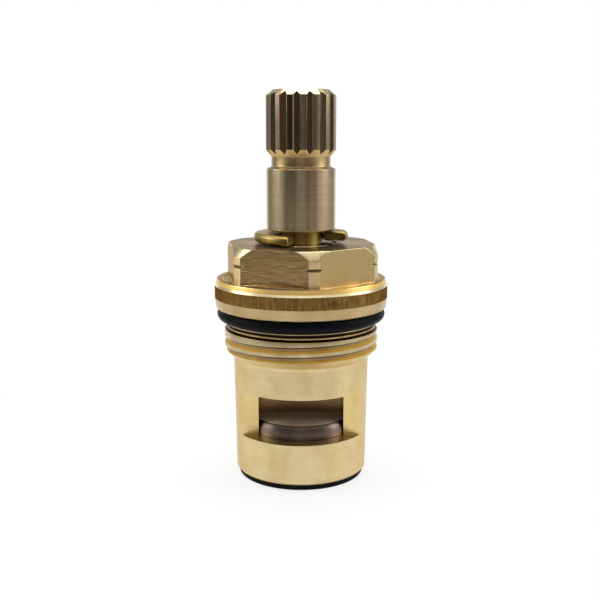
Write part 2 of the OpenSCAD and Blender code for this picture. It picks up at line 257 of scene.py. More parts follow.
def threadTree():
    number, whole = "NodeSocketFloat", "NodeSocketInt"
    tree, given, end = makeTree("cutThread", [
        ("Pitch", number), ("Turns", number), ("Crest Radius", number), ("Depth", number), ("Crest Flat", number),
        ("Start Height", number), ("Start Angle", number), ("Run Out", number), ("Points Per Turn", whole),
        ("Material", "NodeSocketMaterial")])
    links, size = tree.links, given.outputs
    helix = tree.nodes.new("GeometryNodeCurveSpiral")
    links.new(size["Points Per Turn"], helix.inputs["Resolution"])
    links.new(size["Turns"], helix.inputs["Rotations"])
    links.new(size["Crest Radius"], helix.inputs["Start Radius"])
    links.new(size["Crest Radius"], helix.inputs["End Radius"])
    links.new(addMath(tree, "MULTIPLY", size["Pitch"], size["Turns"]), helix.inputs["Height"])
    helix.inputs["Reverse"].default_value = True   # right-hand
    # the last part of the helix climbs out of the metal
    place = tree.nodes.new("GeometryNodeInputPosition")
    outward = addVector(tree, "NORMALIZE", addVector(tree, "MULTIPLY", place.outputs[0], (1, 1, 0)))
    along = tree.nodes.new("GeometryNodeSplineParameter")
    fade = addRange(tree, along.outputs["Factor"], size["Run Out"], 1.0, 0.0, size["Depth"], smooth=True)
    spread = tree.nodes.new("GeometryNodeSetPosition")
    links.new(helix.outputs["Curve"], spread.inputs["Geometry"])
    links.new(addVector(tree, "SCALE", outward, fade), spread.inputs["Offset"])
    upright = tree.nodes.new("GeometryNodeSetCurveNormal")
    upright.mode = "Z_UP"
    links.new(spread.outputs["Geometry"], upright.inputs["Curve"])
    # V section that stands out of the crest, with flanks at 60 degrees to each other
    above = 0.12
    slope = math.tan(math.radians(30))
    halfGap = addMath(tree, "DIVIDE", addMath(tree, "SUBTRACT", size["Pitch"], size["Crest Flat"]), 2.0)
    root = addMath(tree, "SUBTRACT", halfGap, addMath(tree, "MULTIPLY", size["Depth"], slope))
    wide = addMath(tree, "ADD", halfGap, above * slope)
    section = tree.nodes.new("GeometryNodeCurvePrimitiveQuadrilateral")
    section.mode = "POINTS"
    deep = addMath(tree, "MULTIPLY", size["Depth"], -1.0)
    links.new(addPoint(tree, above, wide), section.inputs["Point 1"])
    links.new(addPoint(tree, deep, root), section.inputs["Point 2"])
    links.new(addPoint(tree, deep, addMath(tree, "MULTIPLY", root, -1.0)), section.inputs["Point 3"])
    links.new(addPoint(tree, above, addMath(tree, "MULTIPLY", wide, -1.0)), section.inputs["Point 4"])
    sweep = tree.nodes.new("GeometryNodeCurveToMesh")
    sweep.inputs["Fill Caps"].default_value = True
    links.new(upright.outputs["Curve"], sweep.inputs["Curve"])
    links.new(section.outputs["Curve"], sweep.inputs["Profile Curve"])
    tool = addTurn(tree, sweep.outputs["Mesh"], size["Start Angle"], size["Start Height"])
    finishTree(tree, given, tool, end)
    return tree


def splineTree():
    number, whole = "NodeSocketFloat", "NodeSocketInt"
    tree, given, end = makeTree("cutSpline", [
        ("Teeth", whole), ("Root Radius", number), ("Groove Side", number), ("Low", number), ("High", number),
        ("Turn", number), ("Material", "NodeSocketMaterial")])
    links, size = tree.links, given.outputs
    ring = tree.nodes.new("GeometryNodeMeshCircle")
    ring.inputs["Radius"].default_value = 1.0
    links.new(size["Teeth"], ring.inputs["Vertices"])
    bar = tree.nodes.new("GeometryNodeMeshCube")
    tall = addMath(tree, "SUBTRACT", size["High"], size["Low"])
    links.new(addPoint(tree, size["Groove Side"], size["Groove Side"], tall), bar.inputs["Size"])
    # stands on its corner, with that corner on the root circle
    corner = addMath(tree, "MULTIPLY", size["Groove Side"], math.sqrt(0.5))
    away = addMath(tree, "SUBTRACT", addMath(tree, "ADD", size["Root Radius"], corner), 1.0)
    middle = addMath(tree, "DIVIDE", addMath(tree, "ADD", size["High"], size["Low"]), 2.0)
    stand = tree.nodes.new("GeometryNodeTransform")
    stand.inputs["Rotation"].default_value = (0, 0, math.radians(45))
    links.new(bar.outputs["Mesh"], stand.inputs["Geometry"])
    links.new(addPoint(tree, away, 0.0, middle), stand.inputs["Translation"])
    place = tree.nodes.new("GeometryNodeInputPosition")
    face = tree.nodes.new("FunctionNodeAlignRotationToVector")
    face.axis = "X"
    face.pivot_axis = "Z"
    links.new(place.outputs[0], face.inputs["Vector"])
    copies = tree.nodes.new("GeometryNodeInstanceOnPoints")
    links.new(ring.outputs["Mesh"], copies.inputs["Points"])
    links.new(stand.outputs["Geometry"], copies.inputs["Instance"])
    links.new(face.outputs["Rotation"], copies.inputs["Rotation"])
    real = tree.nodes.new("GeometryNodeRealizeInstances")
    links.new(copies.outputs["Instances"], real.inputs["Geometry"])
    tool = addTurn(tree, real.outputs["Geometry"], size["Turn"])
    finishTree(tree, given, tool, end, overlapping=True)
    return tree


# Finishes

def startMaterial(name):
    material = bpy.data.materials.new(name)
    material.use_nodes = True
    tree = material.node_tree
    surface = tree.nodes["Principled BSDF"]
    where = tree.nodes.new("ShaderNodeTexCoord")
    scale = tree.nodes.new("ShaderNodeMapping")
    scale.inputs["Scale"].default_value = (1 / millimetre,) * 3
    tree.links.new(where.outputs["Object"], scale.inputs["Vector"])
    return material, tree, surface, scale.outputs["Vector"]


def addNoise(tree, vector, stretch, detail, rough):
    # stretch is how often the pattern repeats per millimetre along each axis
    place = tree.nodes.new("ShaderNodeMapping")
    place.inputs["Scale"].default_value = stretch
    tree.links.new(vector, place.inputs["Vector"])
    noise = tree.nodes.new("ShaderNodeTexNoise")
    noise.inputs["Scale"].default_value = 1.0
    noise.inputs["Detail"].default_value = detail
    noise.inputs["Roughness"].default_value = rough
    tree.links.new(place.outputs["Vector"], noise.inputs["Vector"])
    return noise.outputs["Fac"]


def addRamp(tree, value, positions, colours):
    ramp = tree.nodes.new("ShaderNodeValToRGB")
    tree.links.new(value, ramp.inputs["Fac"])
    steps = ramp.color_ramp.elements
    for step, k in ((steps[0], 0), (steps[1], -1)):
        step.position, step.color = positions[k], (*colours[k], 1)
    for position, colour in zip(positions[1:-1], colours[1:-1]):
        steps.new(position).color = (*colour, 1)
    return ramp.outputs["Color"]


def mixColours(tree, share, first, second, blend="MIX"):
    mix = tree.nodes.new("ShaderNodeMix")
    mix.data_type = "RGBA"
    mix.blend_type = blend
    colours = [(*value, 1) if isinstance(value, tuple) else value for value in (first, second)]
    feed(tree, (mix.inputs[0], *mix.inputs[6:8]), (share, *colours))
    return mix.outputs[2]


def addBump(tree, height, strength, distance, below=None):
    bump = tree.nodes.new("ShaderNodeBump")
    bump.inputs["Strength"].default_value = strength
    bump.inputs["Distance"].default_value = distance
    tree.links.new(height, bump.inputs["Height"])
    if below is not None:
        tree.links.new(below, bump.inputs["Normal"])
    return bump.outputs["Normal"]


# Each span says between which noise values a tone or a gloss changes, and each relief is in metres.
brassPattern = dict(
    patches=(0.35, 0.35, 0.25), grain=(7, 7, 7), toneSpan=(0.32, 0.68), markSpan=(0.3, 0.7),
    speckSpan=(0.27, 0.33), glossSpan=(0.3, 0.7), grainRelief=0.00002, markRelief=0.00003)
# what some finishes share, by the tool that cut them
threadCut = dict(marks=(0.2, 0.2, 12), stretch=0.4, depth=0.2, grain=0.06)
facedCut = dict(marks=(1.5, 1.5, 1.5), contrast=0.12, stretch=0.5, depth=0.12)
flatCut = dict(marks=(0.6, 0.6, 7), contrast=0.10, roughness=(0.26, 0.38), depth=0.12)
footCut = dict(marks=(0.1, 0.1, 10), contrast=0.15, specks=0.06, depth=0.1, grain=0.02)
brassLooks = dict(
    sleeve=dict(
        marks=(0.10, 0.10, 7), dark=(0.70, 0.54, 0.275), light=(0.775, 0.625, 0.34), stain=(0.46, 0.31, 0.12),
        contrast=0.10, specks=0.10, edgeTint=(0.88, 0.80, 0.66), roughness=(0.26, 0.34), stretch=0.55, depth=0.14,
        grain=0.04),
    chamfer=dict(
        marks=(0.12, 0.12, 9), dark=(0.80, 0.65, 0.36), light=(0.86, 0.72, 0.43), stain=(0.5, 0.36, 0.15),
        contrast=0.08, specks=0.10, roughness=(0.22, 0.30), stretch=0.5, depth=0.10, grain=0.04),
    crest=dict(
        threadCut, dark=(0.58, 0.45, 0.25), light=(0.72, 0.58, 0.35), stain=(0.30, 0.20, 0.09), contrast=0.2,
        specks=0.2, roughness=(0.26, 0.36)),
    # corner: rougher turned brass on the hexagon corners, its lighter tone painted light where they face the dark
    # room
    corner=dict(
        marks=(0.2, 0.2, 9), dark=(0.88, 0.66, 0.32), light=(0.95, 0.74, 0.39), stain=(0.5, 0.36, 0.15),
        contrast=0.1, specks=0.15, roughness=(0.42, 0.5), stretch=0.5, depth=0.12, grain=0.05),
    faced=dict(
        facedCut, dark=(0.28, 0.215, 0.135), light=(0.37, 0.29, 0.195), stain=(0.22, 0.15, 0.08), specks=0.25,
        edgeTint=(0.80, 0.67, 0.50), roughness=(0.22, 0.30), grain=0.06),
    flange=dict(
        facedCut, dark=(0.50, 0.38, 0.20), light=(0.60, 0.47, 0.28), stain=(0.30, 0.19, 0.07), specks=0.2,
        edgeTint=(0.86, 0.70, 0.48), roughness=(0.26, 0.34), grain=0.05),
    # flank: darker grey-brown brass, painted shade on downward thread flanks, thread roots and the hexagon's
    # marking groove
    flank=dict(
        threadCut, dark=(0.34, 0.24, 0.13), light=(0.48, 0.36, 0.21), stain=(0.14, 0.08, 0.03), contrast=0.3,
        specks=0.3, roughness=(0.28, 0.40)),
    # lip: saturated gold, partly diffuse brass on the flange's steep cone, painted reflected light
    lip=dict(
        marks=(0.12, 0.12, 9), dark=(0.96, 0.60, 0.16), light=(1.0, 0.68, 0.21), stain=(0.34, 0.22, 0.08),
        contrast=0.15, specks=0.2, metal=0.6, roughness=(0.38, 0.46), stretch=0.4, depth=0.1, grain=0.05),
    # relief: near-black brass in the undercut under the ring, painted shade and painted reflection of the black
    # ring
    relief=dict(
        threadCut, dark=(0.035, 0.022, 0.012), light=(0.07, 0.045, 0.022), stain=(0.02, 0.012, 0.006),
        contrast=0.3, specks=0.2, roughness=(0.34, 0.44)),
    skirt=dict(
        marks=(0.12, 0.12, 8), dark=(0.52, 0.37, 0.17), light=(0.60, 0.45, 0.23), stain=(0.30, 0.19, 0.07),
        contrast=0.12, specks=0.25, roughness=(0.26, 0.36), stretch=0.5, depth=0.14, grain=0.05),
    jamb=dict(
        flatCut, dark=(0.78, 0.58, 0.24), light=(0.86, 0.66, 0.30), stain=(0.46, 0.31, 0.12), specks=0.2,
        grain=0.05),
    # bead: pale brass on the flange bead, a painted highlight along it
    bead=dict(
        marks=(0.12, 0.12, 9), dark=(0.92, 0.79, 0.46), light=(0.97, 0.87, 0.56), stain=(0.6, 0.44, 0.2),
        contrast=0.06, specks=0.1, roughness=(0.26, 0.32), stretch=0.4, depth=0.08, grain=0.03),
    # thread: saturated gold, partly diffuse brass on the upward thread flanks, painted reflected light
    thread=dict(
        threadCut, dark=(1.0, 0.57, 0.08), light=(1.0, 0.67, 0.12), stain=(0.26, 0.14, 0.04), contrast=0.25,
        specks=0.15, metal=0.4, roughness=(0.36, 0.46)),
    milled=dict(
        marks=(0.55, 0.55, 5.5), patches=(0.2, 0.2, 1.2), dark=(0.52, 0.32, 0.13), light=(0.76, 0.51, 0.24),
        stain=(0.28, 0.16, 0.05), contrast=0.52, specks=0.2, roughness=(0.26, 0.40), depth=0.5, grain=0.06),
    plainFlat=dict(
        flatCut, dark=(0.60, 0.42, 0.18), light=(0.72, 0.52, 0.24), stain=(0.30, 0.18, 0.06), specks=0.45,
        edgeTint=(0.72, 0.58, 0.42), grain=0.06),
    shaft=dict(
        marks=(0.06, 0.06, 7), dark=(0.60, 0.46, 0.27), light=(0.68, 0.53, 0.33), stain=(0.36, 0.24, 0.14),
        contrast=0.20, specks=0.08, roughness=(0.20, 0.26), stretch=0.7, depth=0.22, grain=0.03),
    tooth=dict(
        marks=(7, 7, 0.12), dark=(0.38, 0.28, 0.165), light=(0.46, 0.355, 0.22), stain=(0.28, 0.17, 0.09),
        contrast=0.18, specks=0.10, roughness=(0.14, 0.22), depth=0.10, grain=0.03),
    # edge: dark grey-brown brass on the plate's edge, sides and underside below the window floor, painted shade
    edge=dict(
        footCut, dark=(0.17, 0.13, 0.105), light=(0.23, 0.175, 0.145), stain=(0.14, 0.09, 0.06),
        roughness=(0.28, 0.34), stretch=0.9),
    foot=dict(
        footCut, dark=(0.72, 0.55, 0.41), light=(0.80, 0.63, 0.49), stain=(0.28, 0.18, 0.10), metal=0.35,
        roughness=(0.42, 0.48), stretch=0.95),
    # web: dark brown brass on the half web and collar inside the window, painted shade
    web=dict(
        marks=(0.15, 0.15, 8), dark=(0.30, 0.19, 0.09), light=(0.38, 0.25, 0.13), stain=(0.20, 0.12, 0.05),
        contrast=0.2, specks=0.1, roughness=(0.34, 0.42), depth=0.15, grain=0.04),
    clip=dict(
        marks=(1.2, 1.2, 1.6), dark=(0.42, 0.29, 0.08), light=(0.58, 0.43, 0.15), stain=(0.20, 0.12, 0.03),
        contrast=0.2, specks=0.3, roughness=(0.30, 0.42), depth=0.4, grain=0.08))
# rimLook: brown streaks on the rim, with very dark tones that are painted reflection of the dark room in front
rimLook = dict(
    dark=(0.08, 0.04, 0.012), middle=(0.30, 0.17, 0.05), light=(0.52, 0.33, 0.11), soft=(0.36, 0.215, 0.072),
    edgeTint=(0.28, 0.19, 0.10), streaks=(26, 0.35, 1), grains=(90, 5, 1), broad=(2.2, 0.5, 1),
    broadSpan=(0.35, 0.65), mottledStops=(0.3, 0.5, 0.72), evenStops=(0.3, 0.75), grainSpan=(0.3, 0.7),
    grainShade=0.7, roughness=(0.48, 0.62), depth=0.3, relief=0.00003)
rubberPattern = dict(
    bloom=(0.5, 0.5, 0.8), skin=(14, 14, 14), toneSpan=(0.3, 0.7), dustSpan=(0.66, 0.76),
    dustTone=(0.12, 0.12, 0.11), depth=0.2, relief=0.00003)
ringLook = dict(dark=(0.002, 0.002, 0.003), light=(0.005, 0.005, 0.006), roughness=(0.38, 0.52), gloss=0.05,
                dust=0.08)
inletLook = dict(dark=(0.004, 0.004, 0.004), light=(0.009, 0.009, 0.008), roughness=(0.5, 0.62), gloss=0.05,
                 dust=0.1)
ceramicPattern = dict(cloud=(0.6, 0.6, 0.6), specks=(9, 9, 9), toneSpan=(0.3, 0.7), speckSpan=(0.7, 0.78),
                      speckShare=0.35, depth=0.08, relief=0.00002)
discLook = dict(dark=(0.78, 0.76, 0.70), light=(0.86, 0.84, 0.79), speck=(0.5, 0.46, 0.40), roughness=(0.12, 0.2))
washerLook = dict(dark=(0.84, 0.84, 0.81), light=(0.90, 0.90, 0.88), speck=(0.6, 0.6, 0.56), roughness=(0.4, 0.5))


def brass(name, look):
    pattern = brassPattern
    material, tree, surface, vector = startMaterial(name)
    marks = addNoise(tree, vector, look["marks"], detail=2.0, rough=0.6)
    patches = addNoise(tree, vector, look.get("patches", pattern["patches"]), detail=4.0, rough=0.6)
    grain = addNoise(tree, vector, pattern["grain"], detail=2.0, rough=0.5)
    tone = addRamp(tree, patches, pattern["toneSpan"], (look["dark"], look["light"]))
    scored = addRange(tree, marks, *pattern["markSpan"], 1 - look["contrast"], 1.0)
    shaded = mixColours(tree, 1.0, tone, scored, "MULTIPLY")
    specks = addRange(tree, grain, *pattern["speckSpan"], look["specks"], 0.0)
    tree.links.new(mixColours(tree, specks, shaded, look["stain"]), surface.inputs["Base Color"])
    surface.inputs["Metallic"].default_value = look.get("metal", 1.0)
    low, high = look["roughness"]
    tree.links.new(addRange(tree, patches, *pattern["glossSpan"], high, low), surface.inputs["Roughness"])
    surface.inputs["Specular Tint"].default_value = (*look.get("edgeTint", (1, 1, 1)), 1)
    if "stretch" in look:
        # turned metal: the gloss spreads across the tool marks
        surface.inputs["Anisotropic"].default_value = look["stretch"]
        surface.inputs["Anisotropic Rotation"].default_value = 0.25   # a quarter turn
        around = tree.nodes.new("ShaderNodeTangent")
        around.direction_type = "RADIAL"
        around.axis = "Z"
        tree.links.new(around.outputs["Tangent"], surface.inputs["Tangent"])
    fine = addBump(tree, grain, look["grain"], pattern["grainRelief"])
    tree.links.new(addBump(tree, marks, look["depth"], pattern["markRelief"], fine), surface.inputs["Normal"])
    return material


def rimBrass(name, look):
    # blank outer rim of the flange, left with brown streaks across it; its very dark tone is a painted reflection
    # of the dark room in front
    material, tree, surface, vector = startMaterial(name)
    split = tree.nodes.new("ShaderNodeSeparateXYZ")
    tree.links.new(vector, split.inputs[0])
    angle = addMath(tree, "ARCTAN2", split.outputs["Y"], split.outputs["X"])
    place = addPoint(tree, angle, split.outputs["Z"])
    streaks = addNoise(tree, place, look["streaks"], detail=5.0, rough=0.65)
    grains = addNoise(tree, place, look["grains"], detail=3.0, rough=0.6)
    broad = addNoise(tree, place, look["broad"], detail=2.0, rough=0.5)
    uneven = addRange(tree, broad, *look["broadSpan"], 0.0, 1.0)
    tones = (look["dark"], look["middle"], look["light"])
    mottled = addRamp(tree, streaks, look["mottledStops"], tones)
    even = addRamp(tree, streaks, look["evenStops"], (look["middle"], look["soft"]))
    tone = mixColours(tree, uneven, mottled, even)
    shade = addRange(tree, grains, *look["grainSpan"], look["grainShade"], 1.0)
    tree.links.new(mixColours(tree, 1.0, tone, shade, "MULTIPLY"), surface.inputs["Base Color"])
    low, high = look["roughness"]
    tree.links.new(addRange(tree, streaks, *look["grainSpan"], high, low), surface.inputs["Roughness"])
    surface.inputs["Metallic"].default_value = 1.0
    surface.inputs["Specular Tint"].default_value = (*look["edgeTint"], 1)
    tree.links.new(addBump(tree, grains, look["depth"], look["relief"]), surface.inputs["Normal"])
    return material


def rubber(name, look):
    pattern = rubberPattern
    material, tree, surface, vector = startMaterial(name)
    bloom = addNoise(tree, vector, pattern["bloom"], detail=4.0, rough=0.6)
    skin = addNoise(tree, vector, pattern["skin"], detail=2.0, rough=0.6)
    dust = addRange(tree, skin, *pattern["dustSpan"], 0.0, look["dust"])
    tone = addRamp(tree, bloom, pattern["toneSpan"], (look["dark"], look["light"]))
    tree.links.new(mixColours(tree, dust, tone, pattern["dustTone"]), surface.inputs["Base Color"])
    gloss = addRange(tree, bloom, *pattern["toneSpan"], *look["roughness"])
    tree.links.new(gloss, surface.inputs["Roughness"])
    surface.inputs["Specular IOR Level"].default_value = look["gloss"]
    tree.links.new(addBump(tree, skin, pattern["depth"], pattern["relief"]), surface.inputs["Normal"])
    return material


def ceramic(name, look):
    pattern = ceramicPattern
    material, tree, surface, vector = startMaterial(name)
    cloud = addNoise(tree, vector, pattern["cloud"], detail=4.0, rough=0.6)
    specks = addNoise(tree, vector, pattern["specks"], detail=2.0, rough=0.5)
    tone = addRamp(tree, cloud, pattern["toneSpan"], (look["dark"], look["light"]))
    share = addRange(tree, specks, *pattern["speckSpan"], 0.0, pattern["speckShare"])
    tree.links.new(mixColours(tree, share, tone, look["speck"]), surface.inputs["Base Color"])
    gloss = addRange(tree, cloud, *pattern["toneSpan"], *look["roughness"])
    tree.links.new(gloss, surface.inputs["Roughness"])
    tree.links.new(addBump(tree, specks, pattern["depth"], pattern["relief"]), surface.inputs["Normal"])
    return material


finishes = {name: brass(name + "Brass", look) for name, look in brassLooks.items()}
finishes["rim"] = rimBrass("streakedRim", rimLook)
ringRubber = rubber("ringRubber", ringLook)
inletRubber = rubber("inletRubber", inletLook)
discCeramic = ceramic("discCeramic", discLook)
washerPlastic = ceramic("washerPlastic", washerLook)
print("finishes made:", len(finishes), "kinds of brass")


def paint(piece, names, choose):
    # gives each face the finish that choose(middle in mm, normal) names
    piece.data.materials.clear()
    for name in names:
        piece.data.materials.append(finishes[name])
    for face in piece.data.polygons:
        face.material_index = names.index(choose(face.center / millimetre, face.normal))


# limits for telling faces apart: distances in mm, then how much of a normal points one way
touch, hair, thin, close, wide = 0.01, 0.02, 0.03, 0.05, 0.1
square, flat, level, steep, sloped, slight, plumb = 0.9995, 0.97, 0.95, 0.3, 0.25, 0.2, 0.1


# Housing: turned body, milled hexagon, bore, windows and the thread

housing = dict(
    sleeveEnd=0.9, sleeveRadius=10.3, sleeveTopRadius=10.6, sleeveChamfer=0.3, boreRadius=8.25, boreChamfer=0.15,
    shoulder=16.8, leadIn=19.05, threadFrom=20.45, threadRadius=12.0, threadRelief=(23.5, 24.6, 11.3),
    reliefSlope=0.15, threadRidge=(23.98, 11.7, 11.85), ridgeHalf=(0.12, 0.24), grooveFrom=24.75,
    grooveRadius=11.15, skirtFrom=26.85, skirtRadius=13.3, skirtChamfer=0.2, rimFrom=28.5, flangeRadius=13.5,
    flangeBead=(30.42, 13.27, 30.75), flangeTop=31.45, flangeEdge=13.14, flangeStep=(12.2, 12.1, 31.37),
    hexFlats=22.0, hexCorner=12.25, hexTop=36.8, hexTopRadius=11.5, hexChamfer=60, hexTurn=9, hexRoot=0.6,
    milledFlats=(2, 5), markHeight=34.125, markDepth=0.35, markHalf=0.225, spindleBore=5.4, spindleChamfer=0.25,
    sill=7.3, head=14.35, jamb=5.0, lugSlot=(1.55, 9.2, 4.7), stop=(202, 242, 6.75, 14.85), brokenEdge=0.06)
threadSize = {"Pitch": 1.5, "Turns": 3.75, "Crest Radius": 12.0, "Depth": 0.65, "Crest Flat": 0.5,
              "Start Height": 17.82, "Start Angle": math.radians(-90), "Run Out": 0.965, "Points Per Turn": 120}


def turnBody(h):
    beadLow, beadRadius, beadHigh = h["flangeBead"]
    stepOuter, stepInner, stepFloor = h["flangeStep"]
    reliefLow, reliefHigh, reliefRadius = h["threadRelief"]
    ridge, ridgeRadius, lipRadius = h["threadRidge"]
    ridgeTop, ridgeBase = h["ridgeHalf"]
    return lathe("housingBody", softOutline([
        (0, h["sleeveEnd"]),
        (h["sleeveRadius"] - h["sleeveChamfer"], h["sleeveEnd"], 0.08),
        (h["sleeveRadius"], h["sleeveEnd"] + h["sleeveChamfer"], 0.12),
        (h["sleeveTopRadius"], h["leadIn"], 0.9),
        (h["threadRadius"], h["threadFrom"], 0.15),
        (h["threadRadius"], reliefLow, 0.06),
        (reliefRadius, reliefLow + h["reliefSlope"], 0.05),
        (reliefRadius, ridge - ridgeBase, 0.05),
        (ridgeRadius, ridge - ridgeTop, 0.05),
        (ridgeRadius, ridge + ridgeTop, 0.05),
        (reliefRadius, ridge + ridgeBase, 0.05),
        (reliefRadius, reliefHigh - h["reliefSlope"], 0.05),
        (lipRadius, reliefHigh, 0.04),
        (lipRadius, h["grooveFrom"], 0.06),
        (h["grooveRadius"], h["grooveFrom"], 0.1),
        (h["grooveRadius"], h["skirtFrom"], 0.1),
        (h["skirtRadius"] - h["skirtChamfer"], h["skirtFrom"], 0.08),
        (h["skirtRadius"], h["skirtFrom"] + h["skirtChamfer"], 0.1),
        (h["flangeRadius"], h["rimFrom"], 0.3),
        (h["flangeRadius"], beadLow, 0.05),
        (beadRadius, beadHigh, 0.05),
        (h["flangeEdge"], h["flangeTop"]),
        (stepOuter, h["flangeTop"], 0.04),
        (stepInner, stepFloor, 0.04),
        (0, stepFloor)]), sides=240)


def makeHexagon(h):
    # turned corners with a groove and a chamfer, then six flats
    chamferHeight = (h["hexCorner"] - h["hexTopRadius"]) * math.tan(math.radians(h["hexChamfer"]))
    root = h["flangeTop"] - h["hexRoot"]
    blank = lathe("hexBlank", softOutline([
        (0, root),
        (h["hexCorner"], root),
        (h["hexCorner"], h["markHeight"] - h["markHalf"], 0.05),
        (h["hexCorner"] - h["markDepth"], h["markHeight"], 0.05),
        (h["hexCorner"], h["markHeight"] + h["markHalf"], 0.05),
        (h["hexCorner"], h["hexTop"] - chamferHeight, 0.15),
        (h["hexTopRadius"], h["hexTop"], 0.12),
        (0, h["hexTop"])]), sides=240)
    reach = h["hexFlats"] / 2 / math.cos(math.radians(30))
    over = 2
    corners = [math.radians(h["hexTurn"] - 90 + 60 * k) for k in range(6)]
    points = [(reach * math.cos(a), reach * math.sin(a), z)
              for z in (h["flangeTop"] - over, h["hexTop"] + over) for a in corners]
    sides = [(k, (k + 1) % 6, 6 + (k + 1) % 6, 6 + k) for k in range(6)]
    sides += [tuple(range(6)), tuple(range(6, 12))]
    carve(blank, meshFrom("hexPrism", points, sides), "INTERSECT")
    return blank


def makeBore(h):
    # bore for the discs and running bore for the spindle, less the stop that is left standing
    under, over = h["sleeveEnd"] - 0.5, 0.35
    mouth = h["boreRadius"] + h["boreChamfer"]
    bore = lathe("bore", [Vector(p) for p in (
        (0, under), (mouth, under), (mouth, h["sleeveEnd"]),
        (h["boreRadius"], h["sleeveEnd"] + h["boreChamfer"]), (h["boreRadius"], h["shoulder"]),
        (h["spindleBore"], h["shoulder"]), (h["spindleBore"], h["hexTop"] - h["spindleChamfer"]),
        (h["spindleBore"] + h["spindleChamfer"] + over, h["hexTop"] + over), (0, h["hexTop"] + over))], sides=192)
    stopFrom, stopTo, stopInner, stopLow = h["stop"]
    carve(bore, sector("stop", stopFrom, stopTo, stopInner, h["boreRadius"] + 2, stopLow, h["shoulder"] + 0.3))
    return bore


def makeHousing(h):
    body = turnBody(h)
    carve(body, makeHexagon(h), "UNION")
    carve(body, makeBore(h))
    far = 2 * h["flangeRadius"]
    for side in (-1, 1):
        near, away = sorted((side * h["jamb"], side * far))
        carve(body, block("window", (-far, near, h["sill"]), (far, away, h["head"])))
    slotHalf, slotReach, slotTop = h["lugSlot"]
    carve(body, block("lugSlot", (-slotHalf, -slotReach, -1), (slotHalf, slotReach, slotTop)))
    breakEdges(body, h["brokenEdge"])
    print("housing turned and milled:", len(body.data.polygons), "faces")
    runTree(body, threadTree(), dict(threadSize, Material=finishes["sleeve"]))
    print("thread cut:", len(body.data.polygons), "faces")
    return body


def threadFinish(h, z, radius, up):
    reliefLow, reliefHigh, reliefRadius = h["threadRelief"]
    onThread = z > h["threadFrom"]
    # the undercut under the ring gets the near-black relief brass, and its ridge the darker milled brass, both
    # painted shade
    if z > reliefLow + hair:
        onRidge = abs(z - h["threadRidge"][0]) < 0.2 and radius > reliefRadius + 0.15
        return "milled" if onRidge else "crest" if z > reliefHigh - hair else "relief"
    # thread roots and downward flanks get the darker flank brass as painted shade
    if onThread and radius < h["threadRadius"] - threadSize["Depth"] + 0.04:
        return "flank"
    if up < -slight:
        return "flank" if onThread else "sleeve"
    # upward flanks get the saturated gold thread brass as painted reflected light
    onCrest = onThread and radius > h["threadRadius"] - 0.06 and up < slight
    return "crest" if onCrest else "thread"


def housingFinish(h, middle, normal):
    z, up = middle.z, normal.z
    radius = math.hypot(middle.x, middle.y)
    beadLow, beadHigh = h["flangeBead"][0], h["flangeBead"][2]
    stepInner, stepFloor = h["flangeStep"][1:]
    onRim = radius > h["skirtRadius"] - wide
    if h["leadIn"] + wide < z < h["grooveFrom"] and radius > h["sleeveRadius"] + 0.25:
        return threadFinish(h, z, radius, up)
    if z > h["hexTop"] - close and up > level:
        return "faced"
    # the steep cone above the bead gets the saturated gold lip brass as painted reflected light
    if beadHigh < z < h["flangeTop"] + hair and radius > stepInner - 0.5 and abs(up) < steep:
        return "lip"
    if stepFloor - close < z < h["flangeTop"] + hair and up > level:
        return "flange"
    if h["skirtFrom"] < z < h["rimFrom"] + wide and onRim:
        return "skirt"
    # the flange bead gets the pale bead brass as a painted highlight
    if beadLow - thin < z < beadHigh + thin and up > steep and onRim:
        return "bead"
    if z > h["flangeTop"] + close and abs(up) < plumb and radius > h["hexFlats"] / 2 - 0.6:
        # flat number 0 to 5, or a turned corner between two of them
        spots = [math.radians(h["hexTurn"] - 60 + 60 * k) for k in range(6)]
        turned = [math.cos(a) * normal.x + math.sin(a) * normal.y for a in spots]
        # turned corners get the lighter corner brass, painted light
        if max(turned) <= square:
            return "corner"
        return "milled" if turned.index(max(turned)) in h["milledFlats"] else "plainFlat"
    # the rim gets the dark streaked brass, partly painted reflection
    if h["rimFrom"] + wide < z < beadLow - hair and radius > h["flangeRadius"] - wide:
        return "rim"
    # the marking groove round the hexagon corners gets the darker flank brass as painted shade
    if abs(z - h["markHeight"]) < h["markHalf"] + thin and steep < abs(up) < level:
        return "flank"
    if sloped < up < level and z > h["rimFrom"]:
        return "chamfer"
    onJamb = abs(abs(middle.y) - h["jamb"]) < touch and h["sill"] < z < h["head"]
    onSill = abs(z - h["sill"]) < close and up > level
    return "jamb" if onJamb or onSill else "sleeve"


housingBody = makeHousing(housing)
toMetres(housingBody, 26)
paint(housingBody, ["sleeve", "chamfer", "thread", "milled", "plainFlat", "rim", "crest", "corner", "faced",
                    "flank", "skirt", "jamb", "bead", "flange", "relief", "lip"],
      lambda middle, normal: housingFinish(housing, middle, normal))
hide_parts("housing")
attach(housingBody, "housing")
print("housing done")


# Spindle: turned blank, slotted foot and the splined end

spindle = dict(
    plate=6.72, floor=9.42, collar=14.85, washer=16.25, footRadius=8.15, shaftRadius=5.35,
    ringGrooves=(21.8, 27.3), ringWidth=1.82, ringFloor=3.97, neckFrom=36.8, neckTo=38.9, neckRadius=3.3,
    neckChamfer=0.2, shaftTop=48.2, reliefFrom=48.6, reliefTo=50.1, reliefRadius=4.55, splineFrom=51.1,
    splineTo=59.15, end=60.0, endRadius=4.35, slotBack=0.0, plateRound=(0.8, 1.9), plateSteps=16, flats=6.8,
    notch=(200.5, 333.5, 6.45), tang=(1.5, 4.4, 6.4, 5.42), tangRoot=0.35, brokenEdge=0.05)
# a groove stands half a tooth and 4 degrees past the front
splineSize = {"Teeth": 16, "Root Radius": 4.75, "Groove Side": 1.2, "Low": 50.1, "High": 61.0,
              "Turn": math.radians(4 - 90 + 360 / 32)}


